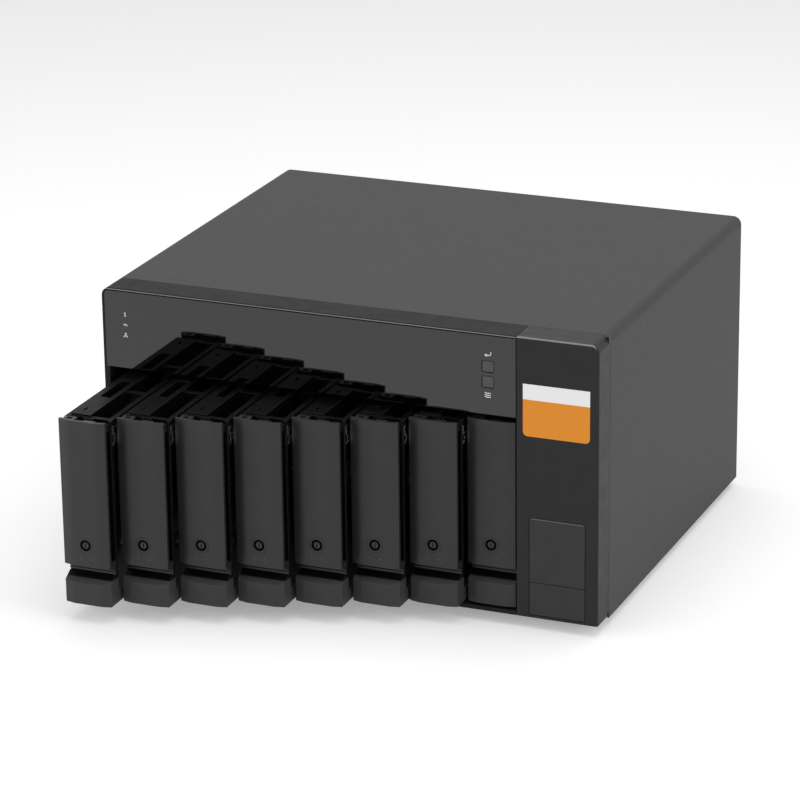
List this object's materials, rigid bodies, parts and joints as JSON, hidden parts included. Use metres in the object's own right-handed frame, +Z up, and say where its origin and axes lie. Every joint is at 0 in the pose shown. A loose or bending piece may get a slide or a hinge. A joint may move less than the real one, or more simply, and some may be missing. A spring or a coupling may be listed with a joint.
{
  "type": "disk shelf enclosure",
  "caption": "Desktop disk shelf with upright hot-swap drive trays, a dark display panel, a side column, rear fans, built-in power supply and external data ports.",
  "frame": {"origin": "centre of the chassis footprint, on the plane of the rubber feet", "axes": "+X to the right seen from the front, +Y from the front to the rear, +Z up"},
  "size_m": [0.3292, 0.3697, 0.1882],
  "materials": {
    "bezel_plastic": "satin",
    "column_plastic": "satin",
    "insert_plastic": "satin",
    "panel_gloss": "gloss",
    "cover_paint": "matte",
    "label_film": "satin",
    "foot_rubber": "matte",
    "zinc_steel": "satin",
    "rear_paint": "matte",
    "tray_plastic": "satin",
    "handle_plastic": "satin",
    "lock_metal": "satin",
    "spring_steel": "satin",
    "guide_plastic": "matte",
    "board_green": "satin",
    "connector_plastic": "satin",
    "button_plastic": "satin",
    "light_pipe": "gloss",
    "display_plastic": "gloss",
    "fan_plastic": "satin",
    "supply_steel": "satin",
    "screw_steel": "satin",
    "port_steel": "satin"
  },
  "bodies": {
    "chassis": {"bezel_frame": "bezel_plastic", "right_column": "column_plastic", "insert_door": "insert_plastic", "insert_strip": "insert_plastic", "front_label": "label_film", "wrap_cover": "cover_paint", "base_pan": "zinc_steel", "rubber_feet": "foot_rubber", "rear_panel": "rear_paint", "case_screws": "screw_steel", "drive_cage": "zinc_steel", "board_shelf": "zinc_steel", "bay_guides": "guide_plastic", "backplane_board": "board_green", "drive_connectors": "connector_plastic", "glossy_panel": "panel_gloss", "front_board": "board_green", "status_lights": "light_pipe", "display_module": "display_plastic", "fan_frames": "fan_plastic", "power_supply": "supply_steel", "power_inlet": "connector_plastic", "data_ports": "port_steel", "controller_board": "board_green"},
    "tray_1": {"tray_1_frame": "tray_plastic", "tray_1_spring": "spring_steel"},
    "tray_1_handle": {"tray_1_handle": "handle_plastic"},
    "tray_1_lock": {"tray_1_lock": "lock_metal"},
    "tray_2": {"tray_2_frame": "tray_plastic", "tray_2_spring": "spring_steel"},
    "tray_2_handle": {"tray_2_handle": "handle_plastic"},
    "tray_2_lock": {"tray_2_lock": "lock_metal"},
    "tray_3": {"tray_3_frame": "tray_plastic", "tray_3_spring": "spring_steel"},
    "tray_3_handle": {"tray_3_handle": "handle_plastic"},
    "tray_3_lock": {"tray_3_lock": "lock_metal"},
    "tray_4": {"tray_4_frame": "tray_plastic", "tray_4_spring": "spring_steel"},
    "tray_4_handle": {"tray_4_handle": "handle_plastic"},
    "tray_4_lock": {"tray_4_lock": "lock_metal"},
    "tray_5": {"tray_5_frame": "tray_plastic", "tray_5_spring": "spring_steel"},
    "tray_5_handle": {"tray_5_handle": "handle_plastic"},
    "tray_5_lock": {"tray_5_lock": "lock_metal"},
    "tray_6": {"tray_6_frame": "tray_plastic", "tray_6_spring": "spring_steel"},
    "tray_6_handle": {"tray_6_handle": "handle_plastic"},
    "tray_6_lock": {"tray_6_lock": "lock_metal"},
    "tray_7": {"tray_7_frame": "tray_plastic", "tray_7_spring": "spring_steel"},
    "tray_7_handle": {"tray_7_handle": "handle_plastic"},
    "tray_7_lock": {"tray_7_lock": "lock_metal"},
    "tray_8": {"tray_8_frame": "tray_plastic", "tray_8_spring": "spring_steel"},
    "tray_8_handle": {"tray_8_handle": "handle_plastic"},
    "tray_8_lock": {"tray_8_lock": "lock_metal"},
    "button_enter": {"button_enter": "button_plastic"},
    "button_select": {"button_select": "button_plastic"},
    "fan_rotor_left": {"fan_rotor_left": "fan_plastic"},
    "fan_rotor_right": {"fan_rotor_right": "fan_plastic"}
  },
  "joints": [
    {"name": "tray_1_slide", "type": "slide", "parent": "chassis", "child": "tray_1", "axis": [0, -1, 0], "range_m": [-0.0889, 0.1011]},
    {"name": "tray_1_handle_hinge", "type": "hinge", "parent": "tray_1", "child": "tray_1_handle", "pos_m": [-0.13675, -0.2225, 0.127], "axis": [-1, 0, 0], "range_deg": [0, 40]},
    {"name": "tray_1_lock_turn", "type": "hinge", "parent": "tray_1_handle", "child": "tray_1_lock", "pos_m": [-0.13675, -0.2267, 0.0514], "axis": [0, 1, 0], "range_deg": [0, 90]},
    {"name": "tray_2_slide", "type": "slide", "parent": "chassis", "child": "tray_2", "axis": [0, -1, 0], "range_m": [-0.0762, 0.1138]},
    {"name": "tray_2_handle_hinge", "type": "hinge", "parent": "tray_2", "child": "tray_2_handle", "pos_m": [-0.1036, -0.2098, 0.127], "axis": [-1, 0, 0], "range_deg": [0, 40]},
    {"name": "tray_2_lock_turn", "type": "hinge", "parent": "tray_2_handle", "child": "tray_2_lock", "pos_m": [-0.1036, -0.214, 0.0514], "axis": [0, 1, 0], "range_deg": [0, 90]},
    {"name": "tray_3_slide", "type": "slide", "parent": "chassis", "child": "tray_3", "axis": [0, -1, 0], "range_m": [-0.0635, 0.1265]},
    {"name": "tray_3_handle_hinge", "type": "hinge", "parent": "tray_3", "child": "tray_3_handle", "pos_m": [-0.07045, -0.1971, 0.127], "axis": [-1, 0, 0], "range_deg": [0, 40]},
    {"name": "tray_3_lock_turn", "type": "hinge", "parent": "tray_3_handle", "child": "tray_3_lock", "pos_m": [-0.07045, -0.2013, 0.0514], "axis": [0, 1, 0], "range_deg": [0, 90]},
    {"name": "tray_4_slide", "type": "slide", "parent": "chassis", "child": "tray_4", "axis": [0, -1, 0], "range_m": [-0.0508, 0.1392]},
    {"name": "tray_4_handle_hinge", "type": "hinge", "parent": "tray_4", "child": "tray_4_handle", "pos_m": [-0.0373, -0.1844, 0.127], "axis": [-1, 0, 0], "range_deg": [0, 40]},
    {"name": "tray_4_lock_turn", "type": "hinge", "parent": "tray_4_handle", "child": "tray_4_lock", "pos_m": [-0.0373, -0.1886, 0.0514], "axis": [0, 1, 0], "range_deg": [0, 90]},
    {"name": "tray_5_slide", "type": "slide", "parent": "chassis", "child": "tray_5", "axis": [0, -1, 0], "range_m": [-0.0381, 0.1519]},
    {"name": "tray_5_handle_hinge", "type": "hinge", "parent": "tray_5", "child": "tray_5_handle", "pos_m": [-0.00415, -0.1717, 0.127], "axis": [-1, 0, 0], "range_deg": [0, 40]},
    {"name": "tray_5_lock_turn", "type": "hinge", "parent": "tray_5_handle", "child": "tray_5_lock", "pos_m": [-0.00415, -0.1759, 0.0514], "axis": [0, 1, 0], "range_deg": [0, 90]},
    {"name": "tray_6_slide", "type": "slide", "parent": "chassis", "child": "tray_6", "axis": [0, -1, 0], "range_m": [-0.0254, 0.1646]},
    {"name": "tray_6_handle_hinge", "type": "hinge", "parent": "tray_6", "child": "tray_6_handle", "pos_m": [0.029, -0.159, 0.127], "axis": [-1, 0, 0], "range_deg": [0, 40]},
    {"name": "tray_6_lock_turn", "type": "hinge", "parent": "tray_6_handle", "child": "tray_6_lock", "pos_m": [0.029, -0.1632, 0.0514], "axis": [0, 1, 0], "range_deg": [0, 90]},
    {"name": "tray_7_slide", "type": "slide", "parent": "chassis", "child": "tray_7", "axis": [0, -1, 0], "range_m": [-0.0127, 0.1773]},
    {"name": "tray_7_handle_hinge", "type": "hinge", "parent": "tray_7", "child": "tray_7_handle", "pos_m": [0.06215, -0.1463, 0.127], "axis": [-1, 0, 0], "range_deg": [0, 40]},
    {"name": "tray_7_lock_turn", "type": "hinge", "parent": "tray_7_handle", "child": "tray_7_lock", "pos_m": [0.06215, -0.1505, 0.0514], "axis": [0, 1, 0], "range_deg": [0, 90]},
    {"name": "tray_8_slide", "type": "slide", "parent": "chassis", "child": "tray_8", "axis": [0, -1, 0], "range_m": [0, 0.19]},
    {"name": "tray_8_handle_hinge", "type": "hinge", "parent": "tray_8", "child": "tray_8_handle", "pos_m": [0.0953, -0.1336, 0.127], "axis": [-1, 0, 0], "range_deg": [0, 40]},
    {"name": "tray_8_lock_turn", "type": "hinge", "parent": "tray_8_handle", "child": "tray_8_lock", "pos_m": [0.0953, -0.1378, 0.0514], "axis": [0, 1, 0], "range_deg": [0, 90]},
    {"name": "button_enter_press", "type": "slide", "parent": "chassis", "child": "button_enter", "axis": [0, 1, 0], "range_m": [0, 0.001], "stiffness_N_per_m": 400},
    {"name": "button_select_press", "type": "slide", "parent": "chassis", "child": "button_select", "axis": [0, 1, 0], "range_m": [0, 0.001], "stiffness_N_per_m": 400},
    {"name": "fan_left_spin", "type": "hinge", "parent": "chassis", "child": "fan_rotor_left", "pos_m": [-0.09695, 0.1251, 0.0675], "axis": [0, 1, 0], "continuous": true},
    {"name": "fan_right_spin", "type": "hinge", "parent": "chassis", "child": "fan_rotor_right", "pos_m": [0.02905, 0.1251, 0.0675], "axis": [0, 1, 0], "continuous": true}
  ]
}
